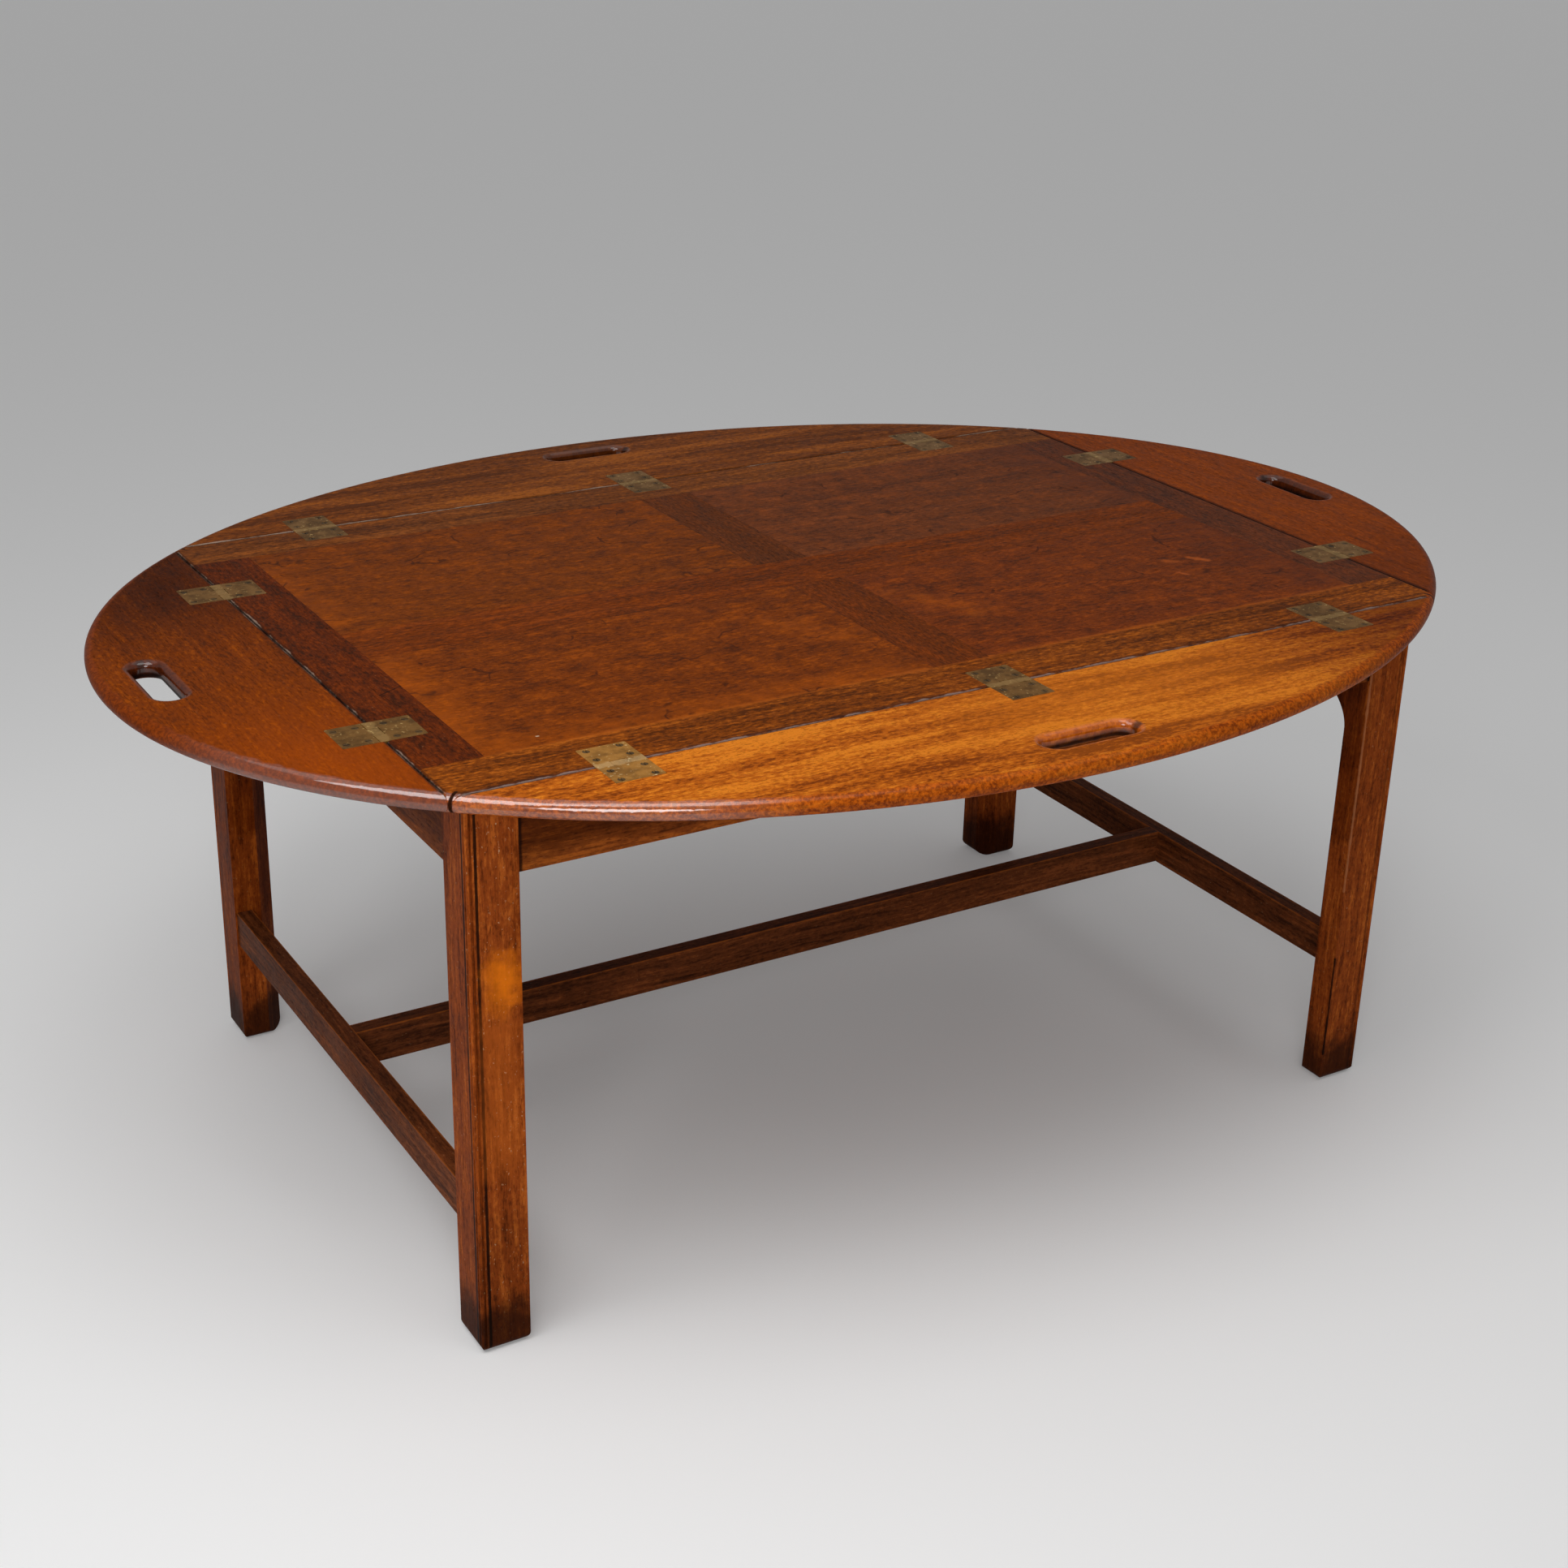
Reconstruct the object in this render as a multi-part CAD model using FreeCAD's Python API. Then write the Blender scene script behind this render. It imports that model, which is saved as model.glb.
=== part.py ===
import FreeCAD, Part
import math
import os

# Butler's tray table: a framed tray with four hinged flaps makes an oval top,
# and the tray rests on a stand with four square legs and an H of stretchers.
# Millimetres. The origin is on the floor under the middle of the table,
# +X runs along the table, -Y is the front and +Z is up.

# Tray, and the oval that its flaps complete just outside the tray's corners
table_height = 480.0
tray_length = 930.0
tray_width = 613.0
top_thickness = 15.0
end_flap_reach = 152.0
corner_share = 1.0054
edge_flat = 0.2

# Joint between the tray and its flaps
joint_gap = 0.3
joint_round = 2.9

# Hand-holds in the flaps
handhold_length = 85.0
handhold_width = 23.0
handhold_round = 5.5
handhold_inset = 43.0

# Framed bottom of the tray
tray_rail_width = 54.0
tray_stile_width = 51.0
mid_rail_width = 62.0
muntin_width = 54.0
panel_thickness = 12.0
tongue_thickness = 5.0
tongue_depth = 6.0
frame_tenon_length = 24.0
frame_tenon_shoulder = 8.0

# Cleats under the tray that keep it on the stand
cleat_width = 14.0
cleat_height = 15.0
cleat_gap = 2.0
cleat_screw_length = 23.0
cleat_screw_count = 4

# Stand
stand_end_inset = 15.0
stand_side_inset = 9.5
leg_size = 41.0
leg_bead = 3.4
leg_quirk = 1.0
leg_chamfer = 16.0
chamfer_stop = 350.0
chamfer_runout = 30.0
foot_round = 8.0
frieze_height = 60.0
frieze_thickness = 20.0
frieze_setback = 2.0
frieze_tenon_length = 22.0
frieze_tenon_thickness = 8.0
frieze_tenon_shoulder = 8.0
stretcher_bottom = 103.0
stretcher_height = 33.0
stretcher_thickness = 15.0
stretcher_setback = 1.5
stretcher_tenon_length = 18.0
stretcher_tenon_thickness = 6.0
stretcher_tenon_shoulder = 5.0
cross_tenon_length = 9.0

# Brass tray hinges
hinge_width = 40.0
leaf_reach = 33.0
leaf_thickness = 2.4
leaf_corner = 1.5
knuckle_radius = 4.5
centre_knuckle = 13.0
knuckle_gap = 0.3
relief_gap = 0.4
pin_depth = 1.6
pin_radius = 1.0
pin_clearance = 0.04
pin_inset = 0.5
spring_thickness = 0.8
spring_width = 9.0
spring_seat = 10.0
spring_reach = 29.0
spring_flat = 9.0
spring_gap = 0.3
hinge_inset = 132.5
front_middle_shift = 8.0
front_right_shift = 8.0

# Screws
screw_head_radius = 2.9
screw_shank_radius = 1.4
screw_length = 11.0
screw_point = 3.0
screw_sink = 0.1
screw_slot_width = 0.8
screw_slot_depth = 0.7
screw_outer_reach = 28.0
screw_inner_reach = 11.0
screw_spread = 27.0

# Fits
fit_clearance = 0.1
tenon_end_gap = 0.5
hole_clearance = 0.05
overrun = 1.0

# Places worked out from the sizes above
tray_bottom = table_height - top_thickness
tray_x = tray_length / 2
tray_y = tray_width / 2
half_gap = joint_gap / 2
oval_x = tray_x + end_flap_reach
oval_y = tray_y / math.sqrt(corner_share - (tray_x / oval_x) ** 2)
rail_inner_y = tray_y - tray_rail_width
stile_inner_x = tray_x - tray_stile_width
tongue_middle = table_height - top_thickness / 2
leg_x = tray_x - stand_end_inset
leg_y = tray_y - stand_side_inset
leg_inner_x = leg_x - leg_size
leg_inner_y = leg_y - leg_size
stretcher_top = stretcher_bottom + stretcher_height
vec = FreeCAD.Vector
ORIGIN = vec(0, 0, 0)
ALONG_X = vec(1, 0, 0)
ALONG_Y = vec(0, 1, 0)
UP = vec(0, 0, 1)
SIDES = {"front": -90, "back": 90, "left": 180, "right": 0}


def box(x0, x1, y0, y1, z0, z1):
    return Part.makeBox(x1 - x0, y1 - y0, z1 - z0, vec(x0, y0, z0))


def prism(points, direction):
    """A solid from a flat closed outline of straight sides."""
    face = Part.Face(Part.makePolygon(points + points[:1]))
    return face.extrude(direction)


def fused(shapes):
    return shapes[0].fuse(shapes[1:]).removeSplitter() if len(shapes) > 1 else shapes[0]


def cut_all(shape, cutters):
    return shape.cut(Part.makeCompound(cutters)) if cutters else shape


def edges_where(shape, test):
    return [edge for edge in shape.Edges if test(edge.BoundBox)]


def flat_at(bounds, height):
    return abs(bounds.ZMin - height) < fit_clearance and abs(bounds.ZMax - height) < fit_clearance


def oval_board():
    """The whole oval top with its rounded edge, before it is divided."""
    ellipse = Part.Ellipse(vec(0, 0, tray_bottom), oval_x, oval_y)
    board = Part.Face(Part.Wire(ellipse.toShape())).extrude(UP * top_thickness)
    rims = edges_where(board, lambda b: flat_at(b, tray_bottom) or flat_at(b, table_height))
    return board.makeFillet((top_thickness - edge_flat) / 2, rims)


# Hinges are drawn at the origin: the joint runs along Y with the top surface at zero,
# the flap is on the +X side and the tray on the -X side.
def knuckle(y0, y1):
    barrel = Part.makeCylinder(knuckle_radius, y1 - y0, vec(0, y0, -pin_depth), ALONG_Y)
    return barrel.common(box(-knuckle_radius, knuckle_radius, y0, y1, -pin_depth - knuckle_radius, 0))


def leaf_plate(side):
    """A leaf's flat plate with rounded outer corners, on the flap side (1) or the tray side (-1)."""
    near, far = knuckle_radius + knuckle_gap, leaf_reach
    x0, x1 = sorted((side * near, side * far))
    middle = (near + far) / 2
    plate = box(x0, x1, -hinge_width / 2, hinge_width / 2, -leaf_thickness, 0)
    corners = edges_where(plate, lambda b: b.ZLength > leaf_thickness / 2 and abs(b.Center.x) > middle)
    return plate.makeFillet(leaf_corner, corners)


def screw_places(side):
    reaches = (screw_inner_reach, screw_outer_reach)
    return [vec(side * reach, s * screw_spread / 2, 0) for reach in reaches for s in (-1, 1)]


def screw(length):
    """A slotted countersunk wood screw hanging from the origin, sunk just below the surface."""
    head = screw_head_radius - screw_shank_radius
    top, neck, tip = -screw_sink, -screw_sink - head, -screw_sink - length
    outline = [vec(0, 0, top), vec(screw_head_radius, 0, top), vec(screw_shank_radius, 0, neck),
               vec(screw_shank_radius, 0, tip + screw_point), vec(0, 0, tip)]
    body = Part.Face(Part.makePolygon(outline + outline[:1])).revolve(ORIGIN, UP, 360)
    reach, half = screw_head_radius + overrun, screw_slot_width / 2
    return body.cut(box(-reach, reach, -half, half, top - screw_slot_depth, top + overrun))


def screw_hole(length):
    """The clearance for a screw: a countersink and a hole down to its point."""
    head, shank = screw_head_radius + hole_clearance, screw_shank_radius + hole_clearance
    top = -screw_sink
    sink = Part.makeCone(shank, head, head - shank, vec(0, 0, top - head + shank))
    mouth = Part.makeCylinder(head, screw_sink + overrun, vec(0, 0, top))
    depth = length + screw_sink + hole_clearance
    return fused([Part.makeCylinder(shank, depth, vec(0, 0, -depth)), sink, mouth])


def moved(shape, place):
    copy = shape.copy()
    copy.translate(place)
    return copy


def pin_bore():
    start = vec(0, -hinge_width / 2 - overrun, -pin_depth)
    return Part.makeCylinder(pin_radius + pin_clearance, hinge_width + 2 * overrun, start, ALONG_Y)


def hinge_parts():
    """One hinge: its two leaves, pin, spring and screws, and the wood cut away for it on each side."""
    near = knuckle_radius + knuckle_gap
    half, inner, outer = centre_knuckle / 2, centre_knuckle / 2 + knuckle_gap, hinge_width / 2
    hole = screw_hole(screw_length)

    tray_leaf = [leaf_plate(-1)]
    for y0, y1 in ((-outer, -inner), (inner, outer)):
        tray_leaf += [knuckle(y0, y1), box(-near, 0, y0, y1, -leaf_thickness, 0)]
    flap_leaf = [leaf_plate(1), knuckle(-half, half), box(0, near, -half, half, -leaf_thickness, 0)]

    spring_top = -pin_depth - knuckle_radius - spring_gap
    seat_end = -spring_reach + spring_seat
    line = [(-spring_reach, -leaf_thickness), (seat_end, -leaf_thickness), (-spring_flat, spring_top),
            (-joint_gap, spring_top)]
    upper = [vec(x, -spring_width / 2, z) for x, z in line]
    lower = [point - UP * spring_thickness for point in reversed(upper)]
    spring = prism(upper + lower, vec(0, spring_width, 0))

    cutters = {}
    for name, side in (("tray", -1), ("flap", 1)):
        reach, width = leaf_reach + fit_clearance, hinge_width / 2 + fit_clearance
        x0, x1 = sorted((0, side * reach))
        seat = box(x0, x1, -width, width, -leaf_thickness, overrun)
        start = vec(0, -width, -pin_depth)
        relief = Part.makeCylinder(knuckle_radius + relief_gap, 2 * width, start, ALONG_Y)
        cutters[name] = [seat, relief] + [moved(hole, place) for place in screw_places(side)]
    pocket = spring_width / 2 + fit_clearance
    cutters["tray"].append(box(-spring_reach - fit_clearance, 0, -pocket, pocket,
                               spring_top - spring_thickness - spring_gap, 0))

    pin_start = vec(0, -hinge_width / 2 + pin_inset, -pin_depth)
    pin = Part.makeCylinder(pin_radius, hinge_width - 2 * pin_inset, pin_start, ALONG_Y)
    leaves = {}
    for name, side, pieces in (("tray", -1, tray_leaf), ("flap", 1, flap_leaf)):
        holes = [moved(hole, place) for place in screw_places(side)]
        leaves[name] = cut_all(fused(pieces), [pin_bore()] + holes)
    screws = {name: [moved(screw(screw_length), place) for place in screw_places(side)]
              for name, side in (("tray", -1), ("flap", 1))}
    return leaves, cutters, pin, spring, screws


def hinge_places():
    """Each hinge's side, its place name along that side, and its placement on the joint line."""
    places = []
    for side, angle in SIDES.items():
        turn = FreeCAD.Rotation(UP, angle)
        if side in ("front", "back"):
            reach = tray_y
            middle, right = (front_middle_shift, front_right_shift) if side == "front" else (0, 0)
            stops = (("left", hinge_inset - tray_x), ("middle", middle),
                     ("right", tray_x - hinge_inset + right))
            spots = [(name, vec(x, math.copysign(reach, angle), table_height)) for name, x in stops]
        else:
            reach = -tray_x if side == "left" else tray_x
            stops = (("front", hinge_inset - tray_y), ("back", tray_y - hinge_inset))
            spots = [(name, vec(reach, y, table_height)) for name, y in stops]
        places += [(side, name, FreeCAD.Placement(spot, turn)) for name, spot in spots]
    return places


def placed(shape, placement):
    copy = shape.copy()
    copy.Placement = placement.multiply(copy.Placement)
    return copy


def flap(side, board, cutters):
    """A flap: the part of the oval outside one joint, with its hand-hold and hinge seats."""
    x, y = tray_x + half_gap, tray_y + half_gap
    far_x, far_y = oval_x + overrun, oval_y + overrun
    lengthwise = side in ("front", "back")
    if lengthwise:
        blank = box(-x + joint_gap, x - joint_gap, y, far_y, tray_bottom, table_height)
        joint_edge = edges_where(blank, lambda b: flat_at(b, table_height) and b.YMax < y + fit_clearance)
        centre = vec(0, oval_y - handhold_inset, tray_bottom)
    else:
        blank = box(x, far_x, -y + joint_gap, y - joint_gap, tray_bottom, table_height)
        joint_edge = edges_where(blank, lambda b: flat_at(b, table_height) and b.XMax < x + fit_clearance)
        centre = vec(oval_x - handhold_inset, 0, tray_bottom)
    piece = blank.makeFillet(joint_round, joint_edge).common(board)

    radius, straight = handhold_width / 2, (handhold_length - handhold_width) / 2
    along = ALONG_X if lengthwise else ALONG_Y
    across = ALONG_Y if lengthwise else ALONG_X
    corners = [centre + along * (straight * a) + across * (radius * c)
               for a, c in ((-1, -1), (1, -1), (1, 1), (-1, 1))]
    ends = [Part.makeCylinder(radius, top_thickness, centre + along * (straight * a)) for a in (-1, 1)]
    slot = fused([prism(corners, UP * top_thickness)] + ends)
    reach = slot.BoundBox
    reach.enlarge(fit_clearance)
    piece = piece.cut(slot)
    rims = edges_where(piece, lambda b: reach.isInside(b) and b.ZLength < fit_clearance)
    piece = piece.makeFillet(handhold_round, rims)

    turned = piece.mirror(ORIGIN, across) if side in ("front", "left") else piece
    return cut_all(turned, cutters)


def groove(x0, x1, y0, y1):
    half = tongue_thickness / 2 + fit_clearance
    return box(x0, x1, y0, y1, tongue_middle - half, tongue_middle + half)


def tongue(x0, x1, y0, y1):
    return box(x0, x1, y0, y1, tongue_middle - tongue_thickness / 2, tongue_middle + tongue_thickness / 2)


def tray_frame(board, cutters):
    """The tray's rails, stiles, muntins and flush panels, tongued and tenoned together."""
    deep = tongue_depth + tenon_end_gap
    mid, bar = mid_rail_width / 2, muntin_width / 2
    stile_tenon_x0, stile_tenon_x1 = stile_inner_x + frame_tenon_shoulder, tray_x - frame_tenon_shoulder
    mid_tenon = mid - frame_tenon_shoulder
    mortise = frame_tenon_length + tenon_end_gap
    nodes = {}

    # A long rail has worn top edges where the flaps meet it, and the oval rounds its two corners.
    x, y = tray_x - half_gap, tray_y - half_gap
    blank = box(-x, x, rail_inner_y, y, tray_bottom, table_height)
    worn = edges_where(blank, lambda b: flat_at(b, table_height) and b.Center.y > rail_inner_y + joint_round)
    blank = blank.makeFillet(joint_round, worn).common(board)

    for name, s in (("front", -1), ("back", 1)):
        g0, g1 = sorted((s * rail_inner_y, s * (rail_inner_y + deep)))
        m0, m1 = sorted((s * rail_inner_y, s * (rail_inner_y + mortise)))
        seats = [groove(-stile_inner_x - deep, stile_inner_x + deep, g0, g1)]
        for x0, x1 in ((stile_tenon_x0, stile_tenon_x1), (-stile_tenon_x1, -stile_tenon_x0)):
            seats.append(groove(x0 - fit_clearance, x1 + fit_clearance, m0, m1))
        rail = blank if s > 0 else blank.mirror(ORIGIN, ALONG_Y)
        nodes["tray_rail_" + name] = cut_all(rail, seats + cutters[name])

        t0, t1 = sorted((s * mid, s * rail_inner_y))
        muntin = box(-bar, bar, t0, t1, tray_bottom, table_height)
        stub = bar - tongue_depth - fit_clearance
        ends = tongue(-stub, stub, t0 - tongue_depth, t1 + tongue_depth)
        sides = [groove(bar - deep, bar, t0, t1), groove(-bar, -bar + deep, t0, t1)]
        nodes["tray_muntin_" + name] = cut_all(fused([muntin, ends]), sides)

        for end, e in (("left", -1), ("right", 1)):
            p0, p1 = sorted((e * bar, e * stile_inner_x))
            field = box(p0, p1, t0, t1, table_height - panel_thickness, table_height)
            edge = tongue(p0 - tongue_depth, p1 + tongue_depth, t0 - tongue_depth, t1 + tongue_depth)
            nodes["tray_panel_" + name + "_" + end] = fused([field, edge])

    for name, s in (("left", -1), ("right", 1)):
        x0, x1 = sorted((s * stile_inner_x, s * x))
        stile = box(x0, x1, -rail_inner_y, rail_inner_y, tray_bottom, table_height)
        worn = edges_where(stile, lambda b: flat_at(b, table_height) and abs(b.Center.x) > x - joint_round)
        stile = stile.makeFillet(joint_round, worn)
        n0, n1 = sorted((s * stile_tenon_x0, s * stile_tenon_x1))
        reach = rail_inner_y + frame_tenon_length
        g0, g1 = sorted((s * stile_inner_x, s * (stile_inner_x + deep)))
        m0, m1 = sorted((s * stile_inner_x, s * (stile_inner_x + mortise)))
        seats = [groove(g0, g1, -rail_inner_y, rail_inner_y),
                 groove(m0, m1, -mid_tenon - fit_clearance, mid_tenon + fit_clearance)]
        stile = fused([stile, tongue(n0, n1, -reach, reach)])
        nodes["tray_stile_" + name] = cut_all(stile, seats + cutters[name])

    reach = stile_inner_x + frame_tenon_length
    rail = fused([box(-stile_inner_x, stile_inner_x, -mid, mid, tray_bottom, table_height),
                  tongue(-reach, reach, -mid_tenon, mid_tenon)])
    nodes["tray_mid_rail"] = cut_all(rail, [groove(-stile_inner_x, stile_inner_x, mid - deep, mid),
                                            groove(-stile_inner_x, stile_inner_x, -mid, -mid + deep)])
    return nodes


def cleats():
    """Cleats screwed up into the tray's long rails, which drop inside the stand's legs and rails."""
    x = leg_inner_x - cleat_gap
    outer_y = leg_y - frieze_setback - frieze_thickness - cleat_gap
    turn = FreeCAD.Rotation(ALONG_X, 180)
    pitch = 2 * x / cleat_screw_count
    nodes, screws, holes = {}, [], {}
    for name, s in (("front", -1), ("back", 1)):
        y0, y1 = sorted((s * outer_y, s * (outer_y - cleat_width)))
        spots = [vec(-x + pitch * (i + 1 / 2), (y0 + y1) / 2, tray_bottom - cleat_height)
                 for i in range(cleat_screw_count)]
        places = [FreeCAD.Placement(spot, turn) for spot in spots]
        holes[name] = [placed(screw_hole(cleat_screw_length), place) for place in places]
        screws += [placed(screw(cleat_screw_length), place) for place in places]
        bar = box(-x, x, y0, y1, tray_bottom - cleat_height, tray_bottom)
        nodes["tray_cleat_" + name] = cut_all(bar, holes[name])
    return nodes, screws, holes


def leg_blank():
    """A leg from its outer corner: quirked bead outside, stopped chamfer inside, eased foot."""
    r, b, q = leg_bead / 2, leg_bead, leg_bead + leg_quirk
    near = r - r / math.sqrt(2)
    one_face = [(r, b), (r, q), (0, q), (0, leg_size)]
    other_face = [(leg_size, 0), (q, 0), (q, r), (b, r)]
    corners = [vec(x, y, 0) for x, y in one_face + [(leg_size, leg_size)] + other_face]
    sides = [Part.LineSegment(p, n).toShape() for p, n in zip(corners, corners[1:])]
    bead = Part.Arc(corners[-1], vec(near, near, 0), corners[0]).toShape()
    blank = Part.Face(Part.Wire(sides + [bead])).extrude(UP * tray_bottom)

    foot = box(0, leg_size, 0, leg_size, 0, tray_bottom)
    blank = blank.common(foot.makeFillet(foot_round, edges_where(foot, lambda b: flat_at(b, 0))))

    # The chamfer is cut to this depth into the inner corner and runs out in a hollow curve.
    depth = leg_chamfer / math.sqrt(2)
    radius = (chamfer_runout ** 2 + depth ** 2) / (2 * depth)
    inward = vec(-1, -1, 0) / math.sqrt(2)
    corner = vec(leg_size, leg_size, 0)
    sweep = math.acos((radius - depth - overrun) / radius)

    def spot(angle):
        return corner + inward * (depth - radius + radius * math.cos(angle)) + UP * (
            chamfer_stop + radius * math.sin(angle))

    start, end = spot(0), spot(sweep)
    low_in = corner + inward * depth - UP * overrun
    low_out = corner - inward * overrun - UP * overrun
    edges = [Part.LineSegment(low_out, low_in), Part.LineSegment(low_in, start),
             Part.Arc(start, spot(sweep / 2), end), Part.LineSegment(end, low_out)]
    face = Part.Face(Part.Wire([edge.toShape() for edge in edges]))
    width = vec(1, -1, 0) * leg_chamfer
    face.translate(width * -1)
    return blank.cut(face.extrude(width * 2))


def tenoned(body, axis, x0, x1, y0, y1, z0, z1):
    """A bar with a tenon on both ends, and the mortises to cut for them from its neighbours."""
    gap_x = tenon_end_gap if axis == "x" else fit_clearance
    gap_y = tenon_end_gap if axis == "y" else fit_clearance
    mortises = box(x0 - gap_x, x1 + gap_x, y0 - gap_y, y1 + gap_y, z0 - fit_clearance, z1 + fit_clearance)
    return fused([body, box(x0, x1, y0, y1, z0, z1)]), mortises


def stand():
    """Legs, frieze rails and stretchers, tenoned together."""
    nodes, mortises = {}, []
    low, high = tray_bottom - frieze_height, tray_bottom
    t0, t1 = low + frieze_tenon_shoulder, high - frieze_tenon_shoulder
    inset = frieze_setback + frieze_thickness / 2
    half, thick = frieze_tenon_thickness / 2, frieze_thickness / 2
    for name, s in (("front", -1), ("back", 1)):
        y = s * (leg_y - inset)
        reach = leg_inner_x + frieze_tenon_length
        body = box(-leg_inner_x, leg_inner_x, y - thick, y + thick, low, high)
        nodes["frieze_rail_" + name], cut = tenoned(body, "x", -reach, reach, y - half, y + half, t0, t1)
        mortises.append(cut)
    for name, s in (("left", -1), ("right", 1)):
        x = s * (leg_x - inset)
        reach = leg_inner_y + frieze_tenon_length
        body = box(x - thick, x + thick, -leg_inner_y, leg_inner_y, low, high)
        nodes["frieze_rail_" + name], cut = tenoned(body, "y", x - half, x + half, -reach, reach, t0, t1)
        mortises.append(cut)

    half, thick = stretcher_tenon_thickness / 2, stretcher_thickness / 2
    s0, s1 = stretcher_bottom + stretcher_tenon_shoulder, stretcher_top - stretcher_tenon_shoulder
    end_x = leg_x - stretcher_setback - thick
    cross_x = end_x - thick
    reach = cross_x + cross_tenon_length
    body = box(-cross_x, cross_x, -thick, thick, stretcher_bottom, stretcher_top)
    nodes["stretcher_long"], cross = tenoned(body, "x", -reach, reach, -half, half, s0, s1)
    for name, s in (("left", -1), ("right", 1)):
        x = s * end_x
        reach = leg_inner_y + stretcher_tenon_length
        body = box(x - thick, x + thick, -leg_inner_y, leg_inner_y, stretcher_bottom, stretcher_top)
        bar, cut = tenoned(body, "y", x - half, x + half, -reach, reach, s0, s1)
        nodes["stretcher_" + name] = bar.cut(cross)
        mortises.append(cut)

    corners = (("front_left", -1, -1, 0), ("front_right", 1, -1, 90),
               ("back_right", 1, 1, 180), ("back_left", -1, 1, 270))
    blank = leg_blank()
    for name, sx, sy, angle in corners:
        place = FreeCAD.Placement(vec(sx * leg_x, sy * leg_y, 0), FreeCAD.Rotation(UP, angle))
        nodes["leg_" + name] = cut_all(placed(blank, place), mortises)
    return nodes


board = oval_board()
leaves, hinge_cutters, pin, spring, hinge_screws = hinge_parts()
tray_cutters = {side: [] for side in SIDES}
flap_cutters = {side: [] for side in SIDES}
groups = {name: [] for name in ["hinge_springs", "hinge_screws_tray"]
          + ["hinge_screws_flap_" + side for side in SIDES] + ["hinge_pins_" + side for side in SIDES]}
nodes = stand()

for side, name, place in hinge_places():
    tray_cutters[side] += [placed(cutter, place) for cutter in hinge_cutters["tray"]]
    flap_cutters[side] += [placed(cutter, place) for cutter in hinge_cutters["flap"]]
    for half in ("tray", "flap"):
        nodes["hinge_" + side + "_" + name + "_" + half + "_leaf"] = placed(leaves[half], place)
    groups["hinge_springs"].append(placed(spring, place))
    groups["hinge_screws_tray"] += [placed(piece, place) for piece in hinge_screws["tray"]]
    groups["hinge_screws_flap_" + side] += [placed(piece, place) for piece in hinge_screws["flap"]]
    groups["hinge_pins_" + side].append(placed(pin, place))

cleat_nodes, groups["cleat_screws"], cleat_holes = cleats()
nodes.update(cleat_nodes)
for side, holes in cleat_holes.items():
    tray_cutters[side] += holes
nodes.update(tray_frame(board, tray_cutters))
for side in SIDES:
    nodes["flap_" + side] = flap(side, board, flap_cutters[side])
nodes.update({name: Part.makeCompound(pieces) for name, pieces in groups.items()})

os.makedirs("parts", exist_ok=True)
for name, shape in nodes.items():
    shape.exportStep("parts/" + name + ".step")
print(len(nodes), "nodes,", sum(len(shape.Solids) for shape in nodes.values()), "solids")
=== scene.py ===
import math

import bpy
from mathutils import Matrix, Vector


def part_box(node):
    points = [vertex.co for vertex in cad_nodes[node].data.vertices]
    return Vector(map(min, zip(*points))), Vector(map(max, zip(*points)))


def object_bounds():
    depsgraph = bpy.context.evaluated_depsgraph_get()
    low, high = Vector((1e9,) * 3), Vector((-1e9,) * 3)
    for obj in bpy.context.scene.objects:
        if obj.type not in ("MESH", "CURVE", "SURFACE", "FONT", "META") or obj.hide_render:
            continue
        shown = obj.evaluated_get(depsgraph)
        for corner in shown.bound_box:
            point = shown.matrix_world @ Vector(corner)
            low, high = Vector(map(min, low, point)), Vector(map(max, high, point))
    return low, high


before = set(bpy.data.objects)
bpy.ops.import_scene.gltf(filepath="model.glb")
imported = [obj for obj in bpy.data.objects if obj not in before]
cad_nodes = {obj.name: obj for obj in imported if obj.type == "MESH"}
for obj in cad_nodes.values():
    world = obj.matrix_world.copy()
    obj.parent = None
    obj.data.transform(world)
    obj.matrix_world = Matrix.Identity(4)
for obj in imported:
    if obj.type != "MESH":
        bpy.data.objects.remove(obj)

cad_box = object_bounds()

# Legs
# Four square posts of old polished mahogany with the grain upright, a quirked bead on the outer corner and
# a stopped chamfer on the inner one. The feet are dark and scuffed. The inner faces and the inner chamfer
# carry painted shade, deepest near the top; the outer end faces of the left legs carry painted shade too,
# and the quirk grooves are drawn as dark lines of painted shade.


def shade(red, green, blue):
    """A colour as it looks on screen, 0 to 255, turned into light values."""
    levels = [c / 255 for c in (red, green, blue)]
    return tuple(c / 12.92 if c <= 0.04045 else ((c + 0.055) / 1.055) ** 2.4 for c in levels) + (1.0,)


def filled(tree, socket, value):
    """Sets an input socket to a plain value, or links another node's output to it."""
    if isinstance(value, bpy.types.NodeSocket):
        tree.links.new(value, socket)
    else:
        socket.default_value = value


def shader(tree, kind, inputs=None, **settings):
    """Adds a shader node with its settings and inputs."""
    made = tree.nodes.new(kind)
    for key, value in settings.items():
        setattr(made, key, value)
    for key, value in (inputs or {}).items():
        filled(tree, made.inputs[key], value)
    return made


def maths(tree, operation, first, second=0.0, clamp=False):
    """A sum of two values."""
    inputs = {0: first, 1: second}
    return shader(tree, "ShaderNodeMath", inputs, operation=operation, use_clamp=clamp).outputs[0]


def place_maths(tree, operation, first, second=(0.0, 0.0, 0.0)):
    """A sum of two places; a dot product or a distance comes out as a plain value."""
    made = shader(tree, "ShaderNodeVectorMath", {0: first, 1: second}, operation=operation)
    return made.outputs["Value" if operation in ("DOT_PRODUCT", "DISTANCE") else "Vector"]


def blended(tree, amount, under, over, blend="MIX"):
    """Lays one colour over another by an amount from 0 to 1."""
    made = shader(tree, "ShaderNodeMix", data_type="RGBA", blend_type=blend)
    for number, value in ((0, amount), (6, under), (7, over)):
        filled(tree, made.inputs[number], value)
    return made.outputs[2]


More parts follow.
